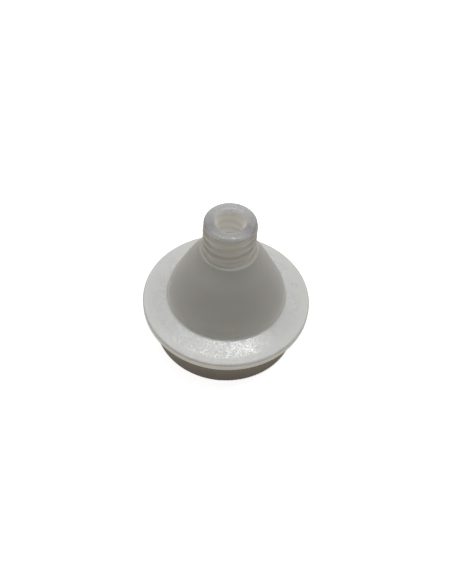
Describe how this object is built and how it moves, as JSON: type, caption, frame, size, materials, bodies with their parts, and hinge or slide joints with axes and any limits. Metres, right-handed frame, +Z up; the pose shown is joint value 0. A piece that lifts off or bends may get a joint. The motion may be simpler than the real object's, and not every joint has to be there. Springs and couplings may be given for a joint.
{
  "type": "buchner funnel",
  "caption": "Plastic filter funnel with a threaded outlet neck, satin cone, wide flange and short skirt that holds a perforated plate, paper, gasket and retaining ring.",
  "frame": {"origin": "centre of the skirt's rim, on the bench plane the funnel stands on mouth down", "axes": "+Z up the funnel's axis, from the wide mouth to the threaded neck; X and Y across the flange"},
  "size_m": [0.06, 0.06, 0.0555],
  "materials": {
    "funnel_plastic": "milky natural polypropylene, satin, with a fine spark-eroded texture on the flange",
    "gasket_silicone": "soft translucent silicone, satin",
    "plate_plastic": "white polypropylene, satin",
    "filter_paper": "unglazed cellulose filter paper",
    "ring_plastic": "milky natural polypropylene, satin"
  },
  "bodies": {
    "retaining_ring": {"retaining_ring": "ring_plastic"},
    "filter_paper": {"filter_paper": "filter_paper"},
    "perforated_plate": {"perforated_plate": "plate_plastic"},
    "seat_gasket": {"seat_gasket": "gasket_silicone"},
    "funnel_body": {"funnel_body": "funnel_plastic"}
  },
  "joints": [
    {"name": "paper_lift", "type": "slide", "parent": "retaining_ring", "child": "filter_paper", "axis": [0, 0, 1], "range_m": [0, 0.012]},
    {"name": "plate_lift", "type": "slide", "parent": "filter_paper", "child": "perforated_plate", "axis": [0, 0, 1], "range_m": [0, 0.012]},
    {"name": "gasket_lift", "type": "slide", "parent": "perforated_plate", "child": "seat_gasket", "axis": [0, 0, 1], "range_m": [0, 0.012]},
    {"name": "funnel_lift", "type": "slide", "parent": "seat_gasket", "child": "funnel_body", "axis": [0, 0, 1], "range_m": [0, 0.024]}
  ]
}
